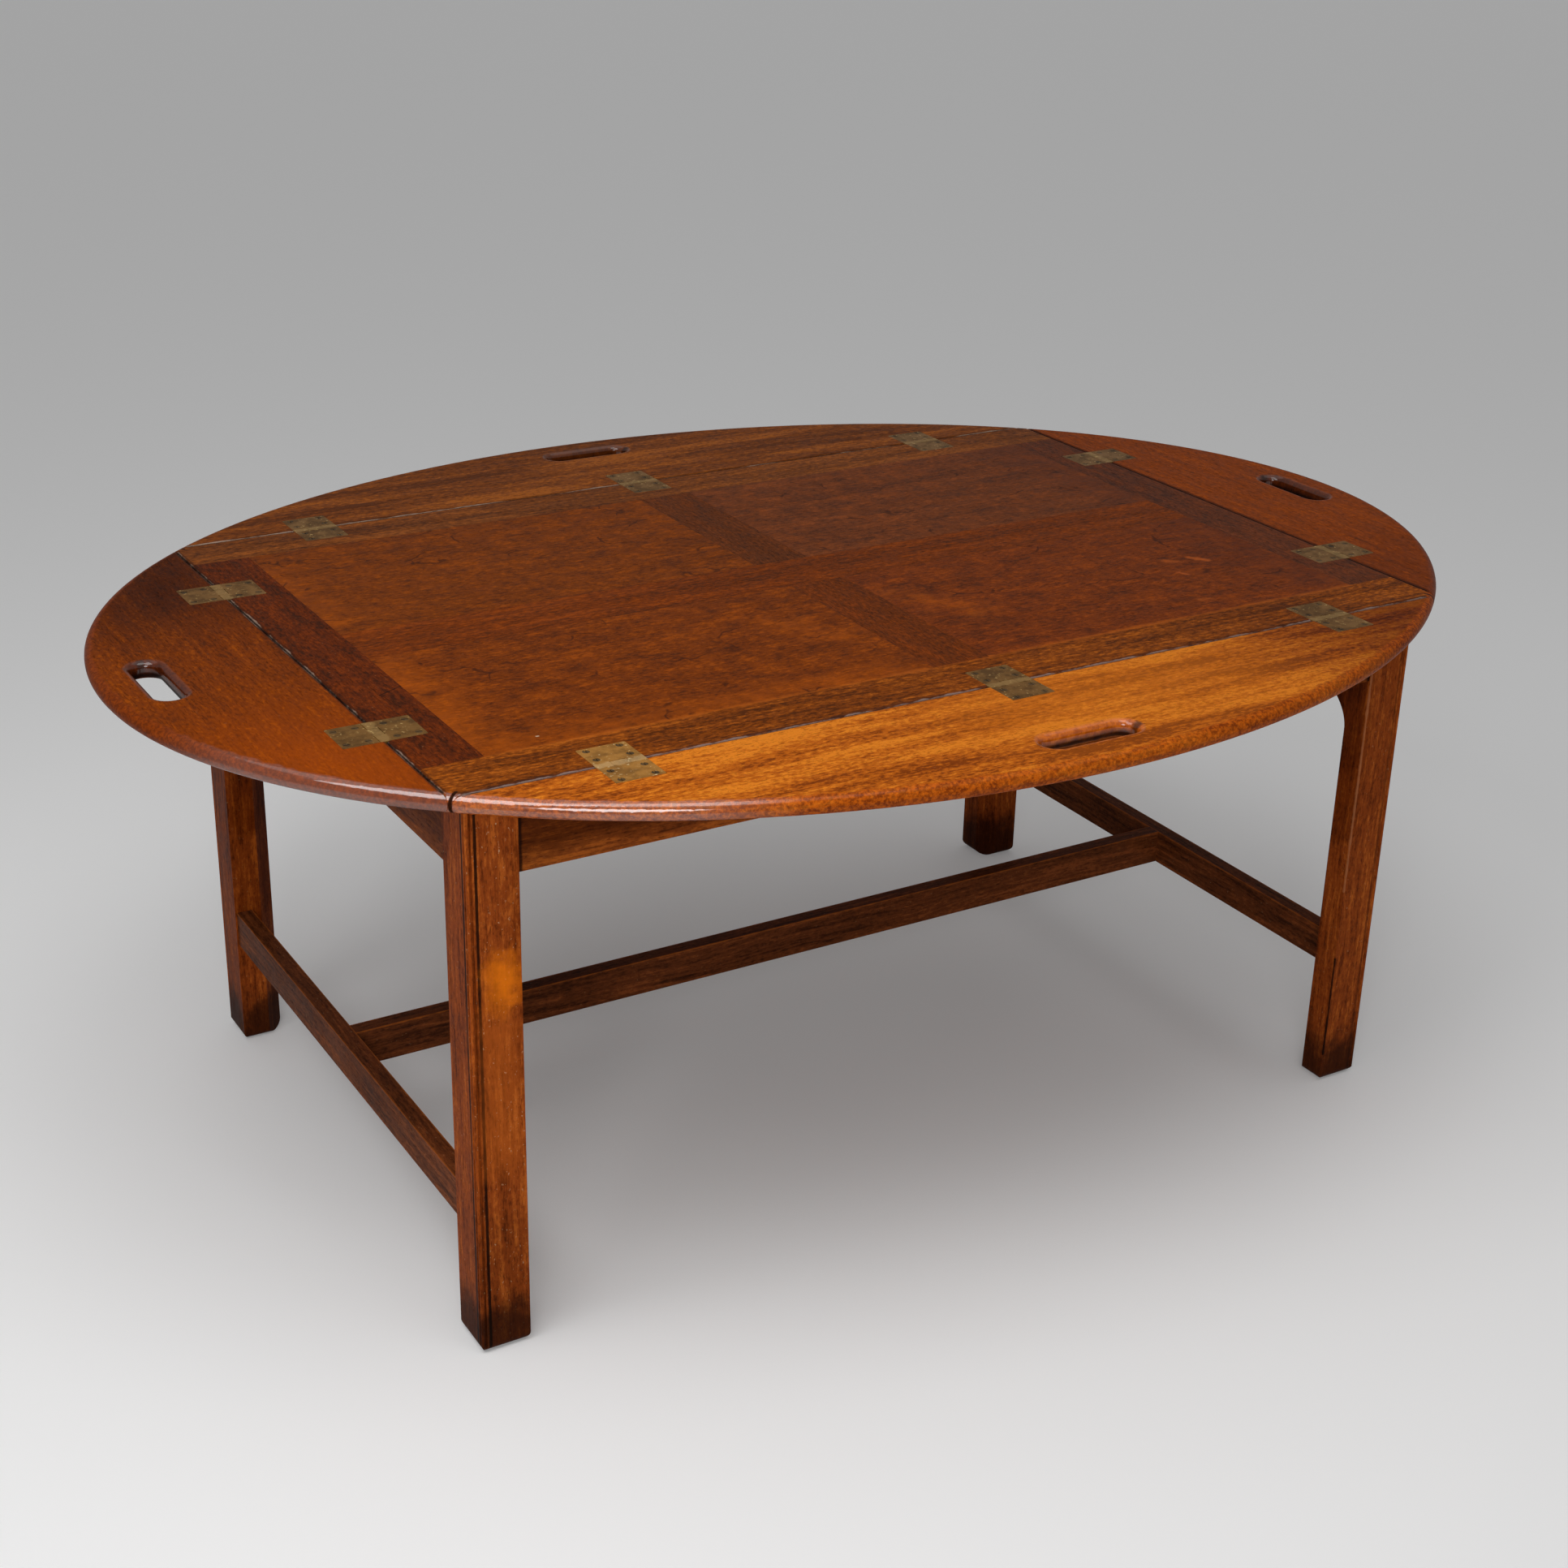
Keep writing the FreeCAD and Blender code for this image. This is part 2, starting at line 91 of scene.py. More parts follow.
def ranged(tree, value, low, high, to_low=0.0, to_high=1.0):
    """A value's place between low and high, eased, on a new scale."""
    inputs = {"Value": value, "From Min": low, "From Max": high, "To Min": to_low, "To Max": to_high}
    return shader(tree, "ShaderNodeMapRange", inputs, interpolation_type="SMOOTHSTEP").outputs[0]


def group_tree(name, inputs, outputs):
    """An empty shader node group with named sockets, and its input and output sockets."""
    tree = bpy.data.node_groups.new(name, "ShaderNodeTree")
    kinds = {"value": "NodeSocketFloat", "colour": "NodeSocketColor", "place": "NodeSocketVector"}
    for direction, sockets in (("INPUT", inputs), ("OUTPUT", outputs)):
        for label, kind in sockets.items():
            tree.interface.new_socket(label, in_out=direction, socket_type=kinds[kind])
    return tree, tree.nodes.new("NodeGroupInput").outputs, tree.nodes.new("NodeGroupOutput").inputs


def placed_group(tree, group, inputs):
    """Places a shader node group in a material with its own values."""
    return shader(tree, "ShaderNodeGroup", inputs, node_tree=group).outputs


def noise(tree, place, scale, detail, roughness=0.5, output="Fac"):
    """Cloudy noise, alike in all directions: scale is in cycles per metre."""
    inputs = {"Vector": place, "Scale": scale, "Detail": detail, "Roughness": roughness}
    return shader(tree, "ShaderNodeTexNoise", inputs).outputs[output]


def drawn_noise(tree, place, along, across, detail=4.0, roughness=0.55):
    """Cloudy noise drawn out along the grain, in cycles per metre along it and across it."""
    return noise(tree, place_maths(tree, "MULTIPLY", place, (along, across, across)), 1.0, detail, roughness)


def make_grain():
    """Mahogany figure: ribbon stripe, streaks, mottling, short dark pores, specks of dirt and pale chips."""
    tree, given, out = group_tree(
        "mahogany_grain",
        {"Place": "place", "Pale": "colour", "Body": "colour", "Dark": "colour", "Ribbon": "value",
         "Streak": "value", "Mottle": "value", "Fleck": "value", "Specks": "value", "Chips": "value"},
        {"Colour": "colour", "Height": "value", "Roughness": "value"})
    wander = noise(tree, given["Place"], 5.0, 2.0, output="Color")
    sway = place_maths(tree, "SUBTRACT", wander, (0.5, 0.5, 0.5))
    sway = place_maths(tree, "MULTIPLY", sway, (0.0, 0.016, 0.016))
    place = place_maths(tree, "ADD", given["Place"], sway)

    ribbon = drawn_noise(tree, place, 4.5, 42.0)
    streak = drawn_noise(tree, place, 14.0, 260.0, detail=5.0, roughness=0.65)
    mottle = drawn_noise(tree, place, 38.0, 76.0, detail=7.0, roughness=0.7)
    fleck = drawn_noise(tree, place, 170.0, 360.0, roughness=0.62)
    pores = ranged(tree, drawn_noise(tree, place, 130.0, 1100.0, detail=2.0), 0.56, 0.68)
    dirt = ranged(tree, drawn_noise(tree, place, 420.0, 520.0, detail=2.0), 0.60, 0.70)
    chip = ranged(tree, drawn_noise(tree, given["Place"], 300.0, 480.0, detail=3.0), 0.66, 0.74)

    tone = 0.5
    figures = ((ribbon, given["Ribbon"]), (streak, given["Streak"]), (mottle, given["Mottle"]))
    for figure, strength in figures:
        swing = maths(tree, "MULTIPLY", maths(tree, "SUBTRACT", figure, 0.5), 3.0)
        tone = maths(tree, "ADD", maths(tree, "MULTIPLY", swing, strength), tone)
    swing = maths(tree, "SUBTRACT", fleck, 0.5)
    tone = maths(tree, "ADD", tone, maths(tree, "MULTIPLY", swing, given["Fleck"]))

    pore_black = (0.004, 0.002, 0.001, 1.0)
    chip_pale = (0.52, 0.30, 0.15, 1.0)
    shadow = blended(tree, 0.6, given["Dark"], pore_black)
    colour = blended(tree, ranged(tree, tone, 0.0, 0.5), given["Dark"], given["Body"])
    colour = blended(tree, ranged(tree, tone, 0.5, 1.0), colour, given["Pale"])
    colour = blended(tree, maths(tree, "MULTIPLY", pores, 0.55), colour, shadow)
    colour = blended(tree, maths(tree, "MULTIPLY", dirt, given["Specks"]), colour, shadow)
    colour = blended(tree, maths(tree, "MULTIPLY", chip, given["Chips"]), colour, chip_pale)
    dull_pores = maths(tree, "MULTIPLY", pores, 0.15)
    roughness = maths(tree, "ADD", ranged(tree, mottle, 0.3, 0.7, 0.30, 0.42), dull_pores)
    tree.links.new(colour, out["Colour"])
    tree.links.new(maths(tree, "SUBTRACT", maths(tree, "MULTIPLY", streak, 0.4), pores), out["Height"])
    tree.links.new(roughness, out["Roughness"])
    return tree


def make_mark():
    """A worn or stained mark along a line: how strongly it shows at a place on the surface."""
    tree, given, out = group_tree(
        "worn_mark",
        {"Place": "place", "Start": "place", "End": "place", "Width": "value", "Softness": "value",
         "Ragged": "value", "Ragged Scale": "value"},
        {"Mask": "value"})
    reach = place_maths(tree, "SUBTRACT", given["End"], given["Start"])
    offset = place_maths(tree, "SUBTRACT", given["Place"], given["Start"])
    along = maths(tree, "DIVIDE", place_maths(tree, "DOT_PRODUCT", offset, reach),
                  place_maths(tree, "DOT_PRODUCT", reach, reach), clamp=True)
    distance = place_maths(tree, "DISTANCE", offset, place_maths(tree, "MULTIPLY", reach, along))
    grit = noise(tree, given["Place"], given["Ragged Scale"], 4.0, roughness=0.6)
    jitter = maths(tree, "MULTIPLY", maths(tree, "SUBTRACT", grit, 0.5), given["Ragged"])
    distance = maths(tree, "ADD", distance, jitter)
    inner = maths(tree, "SUBTRACT", given["Width"], given["Softness"])
    outer = maths(tree, "ADD", given["Width"], given["Softness"])
    tree.links.new(ranged(tree, distance, inner, outer, 1.0, 0.0), out["Mask"])
    return tree


grain_group = make_grain()
mark_group = make_mark()


def mark_mask(tree, place, start, end, width, softness, ragged, ragged_scale):
    """How strongly a worn mark from start to end shows at a place."""
    return placed_group(tree, mark_group, {
        "Place": place, "Start": start, "End": end, "Width": width, "Softness": softness,
        "Ragged": ragged, "Ragged Scale": ragged_scale})["Mask"]


def mark(start, end, colour, strength, blend="MIX", **stroke):
    """A worn or stained line on a piece. With MULTIPLY it tints what lies under it and does not cover it."""
    line = dict(stroke, start=start, end=end)
    return {"line": line, "colour": colour, "strength": strength, "blend": blend}


grain_turns = {"x": (0.0, 0.0, 0.0), "y": (0.0, 0.0, -math.pi / 2), "z": (0.0, math.pi / 2, 0.0)}
board_step = Vector((1.0, 0.37, 0.61))
wood_gloss = 0.01
wood_wax = 0.02


def mahogany(name, grain, pale, body, dark, ribbon=0.3, streak=0.3, mottle=0.3, fleck=2.4, specks=0.2,
             chips=0.1, shift=0.0, marks=(), finish=None):
    """Polished mahogany with its grain along x, y or z, and worn marks laid over the grain in their order.
    Shift picks another board. A finish, if given, takes the material's tree, place and colour further."""
    material = bpy.data.materials.new(name)
    material.use_nodes = True
    tree = material.node_tree
    place = shader(tree, "ShaderNodeTexCoord").outputs["Object"]
    turned = shader(tree, "ShaderNodeMapping", {"Vector": place, "Location": shift * board_step,
                                                "Rotation": grain_turns[grain]}).outputs[0]
    figure = placed_group(tree, grain_group, {
        "Place": turned, "Pale": shade(*pale), "Body": shade(*body), "Dark": shade(*dark), "Ribbon": ribbon,
        "Streak": streak, "Mottle": mottle, "Fleck": fleck, "Specks": specks, "Chips": chips})
    colour = figure["Colour"]
    for worn in marks:
        amount = maths(tree, "MULTIPLY", mark_mask(tree, place, **worn["line"]), worn["strength"])
        colour = blended(tree, amount, colour, shade(*worn["colour"]), worn["blend"])
    polish = tree.nodes["Principled BSDF"]
    polish.inputs["Specular IOR Level"].default_value = wood_gloss
    polish.inputs["Coat Weight"].default_value = wood_wax
    polish.inputs["Coat Roughness"].default_value = 0.1
    if finish:
        colour = finish(tree, place, colour)
    relief = shader(tree, "ShaderNodeBump",
                    {"Strength": 0.12, "Distance": 0.0003, "Height": figure["Height"]})
    tree.links.new(colour, polish.inputs["Base Color"])
    tree.links.new(figure["Roughness"], polish.inputs["Roughness"])
    tree.links.new(relief.outputs["Normal"], polish.inputs["Normal"])
    return material


def dressed(node, material):
    """Gives a piece its finish."""
    for holder in cad_nodes[node].material_slots:
        holder.material = material


def upright_mark(x, y, bottom, top, stroke):
    """A mark that runs straight up a piece."""
    return mark((x, y, bottom), (x, y, top), **stroke)


leg_colours = {"pale": (184, 95, 34), "body": (144, 66, 22), "dark": (94, 39, 11)}
scuff_height = 0.012
foot_scuff = dict(colour=(40, 17, 8), strength=0.85,
                  width=0.038, softness=0.014, ragged=0.036, ragged_scale=60.0)
# Painted shade on the inner faces and chamfer, laid up from these heights so it is deepest near the top.
painted_shade_from = {"left": (0.14, 0.23, 0.32), "right": (0.26, 0.33, 0.40)}
painted_shade_face = dict(colour=(196, 184, 150), strength=0.7, blend="MULTIPLY",
                      width=0.018, softness=0.006, ragged=0.006, ragged_scale=40.0)
painted_shade_chamfer = dict(colour=(170, 155, 130), strength=0.9, blend="MULTIPLY",
                         width=0.010, softness=0.004, ragged=0.004, ragged_scale=40.0)
# Painted shade on the outer end faces of the left legs.
painted_shade_end_face = dict(colour=(200, 192, 160), blend="MULTIPLY",
                  width=0.018, softness=0.006, ragged=0.006, ragged_scale=40.0)
painted_shade_end_face_strengths = {"front_left": 0.15, "back_left": 0.7}
quirk_inset = 0.0073
# Painted shade: a dark line along each quirk groove.
quirk_shade = dict(colour=(18, 8, 4), width=0.0012, softness=0.0004, ragged=0.0006, ragged_scale=90.0)
quirk_shade_strengths = {"front_left": 0.92, "front_right": 0.35, "back_left": 0.35, "back_right": 0.35}

knee_patch_inset = 0.014
knee_patch = dict(colour=(236, 122, 16), strength=0.8,
                  width=0.010, softness=0.014, ragged=0.034, ragged_scale=80.0)
rubbed_shin = dict(colour=(196, 98, 30), strength=0.4,
                   width=0.012, softness=0.018, ragged=0.030, ragged_scale=40.0)
dulled_shin = dict(colour=(216, 214, 210), strength=0.8, blend="MULTIPLY",
                   width=0.024, softness=0.020, ragged=0.030, ragged_scale=40.0)
rubbed_arris = dict(colour=(190, 122, 78), strength=0.6,
                    width=0.0012, softness=0.0008, ragged=0.003, ragged_scale=90.0)
arris_crack = dict(colour=(16, 6, 3), strength=0.9,
                   width=0.0014, softness=0.0008, ragged=0.003, ragged_scale=60.0)

for number, corner in enumerate(("front_left", "front_right", "back_left", "back_right")):
    low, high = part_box("leg_" + corner)
    middle = (low + high) / 2
    depth, side = corner.split("_")
    bead_x, inner_x = (low.x, high.x) if side == "left" else (high.x, low.x)
    bead_y, inner_y = (low.y, high.y) if depth == "front" else (high.y, low.y)
    quirks = ((bead_x + math.copysign(quirk_inset, inner_x - bead_x), bead_y),
              (bead_x, bead_y + math.copysign(quirk_inset, inner_y - bead_y)))
    marks = [upright_mark(middle.x, middle.y, 0.0, scuff_height, foot_scuff)]
    for x, y in ((inner_x, middle.y), (middle.x, inner_y)):
        marks += [upright_mark(x, y, bottom, high.z, painted_shade_face) for bottom in painted_shade_from[side]]
    marks.append(upright_mark(inner_x, inner_y, low.z, high.z, painted_shade_chamfer))
    if corner in painted_shade_end_face_strengths:
        stroke = dict(painted_shade_end_face, strength=painted_shade_end_face_strengths[corner])
        marks.append(upright_mark(bead_x, middle.y, low.z, high.z, stroke))
    stroke = dict(quirk_shade, strength=quirk_shade_strengths[corner])
    marks += [upright_mark(x, y, low.z, high.z, stroke) for x, y in quirks]
    if corner == "front_left":
        marks += [upright_mark(high.x - knee_patch_inset, low.y, 0.31, 0.33, knee_patch),
                  upright_mark(middle.x, low.y, 0.17, 0.28, rubbed_shin),
                  upright_mark(middle.x, low.y, 0.03, 0.10, dulled_shin)]
    if corner == "front_right":
        marks += [upright_mark(low.x, low.y, 0.20, 0.42, rubbed_arris),
                  upright_mark(low.x, low.y, 0.03, 0.13, arris_crack)]
    dressed("leg_" + corner, mahogany(
        "leg_wood_" + corner, "z", ribbon=0.35, streak=0.65, mottle=0.3, fleck=1.2, specks=0.35,
        chips=0.9 if corner == "front_left" else 0.3, shift=0.7 * number, marks=marks, **leg_colours))

# Frieze rails
# Four plain boards under the tray, tenoned into the legs a little behind their faces, grain along each.
# Dirt has settled where a rail meets a leg, darkened further there by painted shade, and the upper part
# carries the flap's painted shadow.

frieze_colours = {"pale": (166, 88, 30), "body": (128, 64, 23), "dark": (84, 39, 13)}
leg_inner_x, leg_inner_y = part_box("leg_back_right")[0].xy
# Painted shadow of the flap on the upper part of each rail.
painted_flap_shadow = dict(colour=(170, 160, 152), strength=1.0, blend="MULTIPLY",
                       width=0.046, softness=0.010, ragged=0.010, ragged_scale=30.0)
# Dirt and painted shade where a rail meets a leg.
shoulder_dirt_and_shade = dict(colour=(24, 10, 5), strength=0.85,
                     width=0.0034, softness=0.0010, ragged=0.0014, ragged_scale=120.0)
for side, grain, shift in (("front", "x", 0.2), ("back", "x", 1.4), ("left", "y", 2.3), ("right", "y", 3.1)):
    low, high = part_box("frieze_rail_" + side)
    outer = low if side in ("front", "left") else high
    if grain == "x":
        shoulders = [(x, outer.y) for x in (-leg_inner_x, leg_inner_x)]
    else:
        shoulders = [(outer.x, y) for y in (-leg_inner_y, leg_inner_y)]
    marks = [mark(*(shoulder + (high.z,) for shoulder in shoulders), **painted_flap_shadow)]
    marks += [upright_mark(x, y, low.z, high.z, shoulder_dirt_and_shade) for x, y in shoulders]
    dressed("frieze_rail_" + side, mahogany(
        "frieze_wood_" + side, grain, ribbon=0.5, streak=0.7, mottle=0.2, fleck=1.2, specks=0.3, shift=shift,
        marks=marks, **frieze_colours))

# Stretchers
# Two end bars between the legs and a long bar between them, tenoned together, darker than the rest from
# dust and wax. Along their upper edges a pale line is painted, a highlight that also stands for wear from
# feet.

stretcher_colours = {"pale": (136, 72, 36), "body": (100, 52, 26), "dark": (63, 31, 16)}
# Painted highlight along the upper edges, which also stands for wear from feet.
edge_highlight_and_wear = dict(colour=(168, 88, 30), strength=0.65,
                   width=0.0008, softness=0.0006, ragged=0.0030, ragged_scale=90.0)
for node, grain, shift in (("left", "y", 0.4), ("right", "y", 1.9), ("long", "x", 2.7)):
    low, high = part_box("stretcher_" + node)
    if grain == "x":
        edges = [((low.x, y, high.z), (high.x, y, high.z)) for y in (low.y, high.y)]
    else:
        edges = [((x, low.y, high.z), (x, high.y, high.z)) for x in (low.x, high.x)]
    marks = [mark(*edge, **edge_highlight_and_wear) for edge in edges]
    dressed("stretcher_" + node, mahogany(
        "stretcher_wood_" + node, grain, ribbon=0.4, streak=0.7, mottle=0.2, fleck=1.2, specks=0.3,
        chips=0.25, shift=shift, marks=marks, **stretcher_colours))

# Tray frame
# Long rails run the whole length; the end stiles, the middle rail and two short muntins are tenoned between
# them. Where a flap meets the frame, the top edge is rounded, with painted shade on the rounding, a line of
# old wax and painted highlight, and dirt in the joint.
# The ends of the long rails come to the oval's rim, which hands and sleeves have rubbed.

top_z = cad_box[1][2]
oval_x, oval_y = cad_box[1][0], cad_box[1][1]
joint_x = (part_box("hinge_pins_right")[0].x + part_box("hinge_pins_right")[1].x) / 2
joint_y = (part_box("hinge_pins_back")[0].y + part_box("hinge_pins_back")[1].y) / 2
rail_inner_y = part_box("tray_rail_back")[0].y
stile_inner_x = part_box("tray_stile_right")[0].x
outward = {"front": (0, -1), "back": (0, 1), "left": (-1, 0), "right": (1, 0)}
joint_depth = 0.001


def joint_line(side):
    """The start and end of the joint on one side of the tray."""
    x, y = outward[side]
    if x:
        return tuple((x * joint_x, end, top_z - joint_depth) for end in (-joint_y, joint_y))
    return tuple((end, y * joint_y, top_z - joint_depth) for end in (-joint_x, joint_x))


# Painted shade on the joint's rounded edges.
joint_groove_shade = dict(strength=0.6, width=0.0030, softness=0.0006, ragged=0.0022, ragged_scale=140.0)
joint_groove_shade_colours = {"front": (54, 34, 30), "back": (70, 37, 19),
                       "left": (52, 25, 14), "right": (54, 30, 24)}
# A line along each joint: old wax, and on three sides a pale painted highlight; on the right it is dark.
wax_and_highlight = {
    "front": dict(colour=(150, 130, 122), strength=0.6, width=0.0013, ragged=0.0070, ragged_scale=40.0),
    "back": dict(colour=(190, 168, 150), strength=0.5, width=0.0012, ragged=0.0080, ragged_scale=14.0),
    "left": dict(colour=(176, 152, 134), strength=0.5, width=0.0011, ragged=0.0065, ragged_scale=34.0),
    "right": dict(colour=(60, 38, 32), strength=0.5, width=0.0020, ragged=0.0034, ragged_scale=90.0)}
joint_dirt = dict(colour=(26, 15, 12), strength=0.92, softness=0.0004, ragged=0.0010, ragged_scale=220.0)
joint_dirt_widths = {"front": 0.0007, "back": 0.0011, "left": 0.0011, "right": 0.0011}


def joint_marks(side):
    """One side's joint: painted shade on the rounded edges, old wax with painted highlight, and the dark
    gap.
    """
    line = joint_line(side)
    return [mark(*line, joint_groove_shade_colours[side], **joint_groove_shade),
            mark(*line, softness=0.0005, **wax_and_highlight[side]),
            mark(*line, width=joint_dirt_widths[side], **joint_dirt)]


def top_mark(start, end, **stroke):
    """A mark on the table's top, from one point of its plan to another."""
    return mark(start + (top_z,), end + (top_z,), **stroke)


def make_rim():
    """The rounded rim of the oval: how strongly it shows at a place, a little ragged on the inside."""
    tree, given, out = group_tree(
        "oval_rim",
        {"Place": "place", "Half Length": "value", "Half Width": "value", "Depth": "value"},
        {"Mask": "value"})
    x, y, _ = shader(tree, "ShaderNodeSeparateXYZ", {0: given["Place"]}).outputs
    shares = maths(tree, "DIVIDE", x, given["Half Length"]), maths(tree, "DIVIDE", y, given["Half Width"])
    reach, share = (
        maths(tree, "SQRT", maths(tree, "ADD", maths(tree, "MULTIPLY", first, first),
                                  maths(tree, "MULTIPLY", second, second)))
        for first, second in ((x, y), shares))
    inside = maths(tree, "SUBTRACT", maths(tree, "DIVIDE", reach, share), reach)
    grit = maths(tree, "SUBTRACT", noise(tree, given["Place"], 70.0, 5.0), 0.5)
    inside = maths(tree, "ADD", inside, maths(tree, "MULTIPLY", grit, 0.008))
    full_depth = maths(tree, "MULTIPLY", given["Depth"], 0.6)
    tree.links.new(ranged(tree, inside, full_depth, given["Depth"], 1.0, 0.0), out["Mask"])
    return tree


rim_group = make_rim()
rim_depth = 0.0085
rim_colours = {"front": ((112, 42, 5), (190, 88, 10)), "back": ((92, 42, 12), (138, 66, 16)),
               "left": ((90, 35, 6), (136, 57, 8)), "right": ((90, 35, 6), (136, 57, 8))}
rim_shine = dict(start=(-0.56, -0.19, top_z), end=(-0.34, -0.39, top_z),
                 width=0.06, softness=0.05, ragged=0.05, ragged_scale=20.0)
rim_corner = Vector(((joint_x + oval_x * math.sqrt(1 - (joint_y / oval_y) ** 2)) / 2,
                     (joint_y + oval_y * math.sqrt(1 - (joint_x / oval_x) ** 2)) / 2, 0.0))
seam_shares = (0.985, 1.004)
rim_seam = dict(start=rim_corner * seam_shares[0], end=rim_corner * seam_shares[1],
                width=0.0014, softness=0.0005, ragged=0.0008, ragged_scale=220.0)
seam_dirt = (20, 10, 7)


def handled_rim(worn_dark, worn_pale):
    """A finish that speckles and polishes the oval's rounded rim, with a dark seam where two flaps meet."""
    def finish(tree, place, colour):
        rim = placed_group(tree, rim_group, {"Place": place, "Half Length": oval_x, "Half Width": oval_y,
                                             "Depth": rim_depth})["Mask"]
        speckle = drawn_noise(tree, place, 330.0, 330.0, roughness=0.7)
        worn = blended(tree, ranged(tree, speckle, 0.40, 0.62), shade(*worn_dark), shade(*worn_pale))
        one_corner = place_maths(tree, "ABSOLUTE", place)
        plan = place_maths(tree, "MULTIPLY", one_corner, (1.0, 1.0, 0.0))
        seam = mark_mask(tree, plan, **rim_seam)
        shine = maths(tree, "MULTIPLY", mark_mask(tree, place, **rim_shine), 0.60)
        shine = maths(tree, "MULTIPLY", rim, maths(tree, "ADD", shine, 0.04))
        shine = maths(tree, "ADD", shine, 0.01)
        polish = tree.nodes["Principled BSDF"].inputs
        polish["Coat IOR"].default_value = 2.2
        shine = maths(tree, "MULTIPLY", shine, maths(tree, "SUBTRACT", 1.0, seam))
        tree.links.new(shine, polish["Coat Weight"])
        colour = blended(tree, maths(tree, "MULTIPLY", rim, 0.7), colour, worn)
        return blended(tree, maths(tree, "MULTIPLY", seam, 0.92), colour, shade(*seam_dirt))
    return finish


worn_panel_edge = top_mark((-stile_inner_x, -rail_inner_y), (stile_inner_x, -rail_inner_y),
                           colour=(182, 92, 22), strength=0.5,
                           width=0.0016, softness=0.0028, ragged=0.0120, ragged_scale=45.0)
for side, shift, pale, body, dark, wear in (
        ("front", 0.3, (168, 88, 20), (122, 58, 8), (80, 36, 4), [worn_panel_edge]),
        ("back", 1.1, (148, 80, 28), (112, 58, 19), (78, 38, 12), [])):
    dressed("tray_rail_" + side, mahogany(
        "rail_wood_" + side, "x", pale, body, dark, ribbon=0.6, streak=0.5, mottle=0.2, specks=0.3,
        shift=shift, marks=joint_marks("left") + joint_marks("right") + joint_marks(side) + wear,
        finish=handled_rim(*rim_colours[side])))
stile_crack = top_mark((-0.436, -0.108), (-0.414, -0.097), colour=(24, 10, 5), strength=0.9,
                       width=0.0006, softness=0.0004, ragged=0.0016, ragged_scale=200.0)
for side, shift, pale, body, dark, wear in (
        ("left", 0.6, (112, 46, 6), (88, 34, 4), (58, 22, 3), [stile_crack]),
        ("right", 2.2, (114, 55, 25), (92, 44, 20), (66, 30, 13), [])):
    dressed("tray_stile_" + side, mahogany(
        "stile_wood_" + side, "y", pale, body, dark, ribbon=0.3, streak=0.4, mottle=0.6, specks=0.5,
        chips=0.2, shift=shift, marks=joint_marks(side) + wear))
dressed("tray_mid_rail", mahogany("mid_rail_wood", "x", (140, 62, 6), (110, 47, 4), (80, 34, 4),
                                  ribbon=0.45, streak=0.4, mottle=0.3, shift=1.7))
for side, shift, pale, body, dark in (
        ("front", 0.9, (128, 56, 8), (101, 44, 5), (72, 30, 4)),
        ("back", 2.9, (114, 54, 16), (92, 43, 11), (66, 30, 7))):
    dressed("tray_muntin_" + side, mahogany(
        "muntin_wood_" + side, "y", pale, body, dark, ribbon=0.25, streak=0.3, mottle=0.35, shift=shift))

# Tray panels
# Four thin boards set flush in the frame, redder and more mottled than the rest. Their old polish is
# blotched and finely cracked, rubbed paler along some edges, and chipped in a few places.


def make_crazing():
    """Fine broken cracks in old polish: how strongly they show at a place."""
    tree, given, out = group_tree("polish_cracks", {"Place": "place", "Scale": "value"}, {"Mask": "value"})
    bend = noise(tree, given["Place"], 22.0, 3.0, output="Color")
    bend = place_maths(tree, "MULTIPLY", bend, (0.05, 0.05, 0.05))
    bent = place_maths(tree, "ADD", given["Place"], bend)
    cells = shader(tree, "ShaderNodeTexVoronoi", {"Vector": bent, "Scale": given["Scale"]},
                   feature="DISTANCE_TO_EDGE")
    line = ranged(tree, cells.outputs["Distance"], 0.006, 0.026, 1.0, 0.0)
    broken = ranged(tree, drawn_noise(tree, given["Place"], 30.0, 30.0, detail=3.0), 0.52, 0.64)
    tree.links.new(maths(tree, "MULTIPLY", line, broken), out["Mask"])
    return tree


crazing_group = make_crazing()
crazing_scale = 16.0
blotch_pale, blotch_dark, crack_dirt = (160, 74, 12), (66, 26, 6), (46, 18, 6)


def old_polish(tree, place, colour):
    """Lays pale and dark blotches and the polish's cracks over a panel's colour."""
    blotch = drawn_noise(tree, place, 70.0, 30.0, detail=6.0, roughness=0.65)
    colour = blended(tree, ranged(tree, blotch, 0.50, 0.66, 0.0, 0.15), colour, shade(*blotch_pale))
    colour = blended(tree, ranged(tree, blotch, 0.34, 0.50, 0.15, 0.0), colour, shade(*blotch_dark))
    cracks = placed_group(tree, crazing_group, {"Place": place, "Scale": crazing_scale})["Mask"]
    return blended(tree, maths(tree, "MULTIPLY", cracks, 0.65), colour, shade(*crack_dirt))


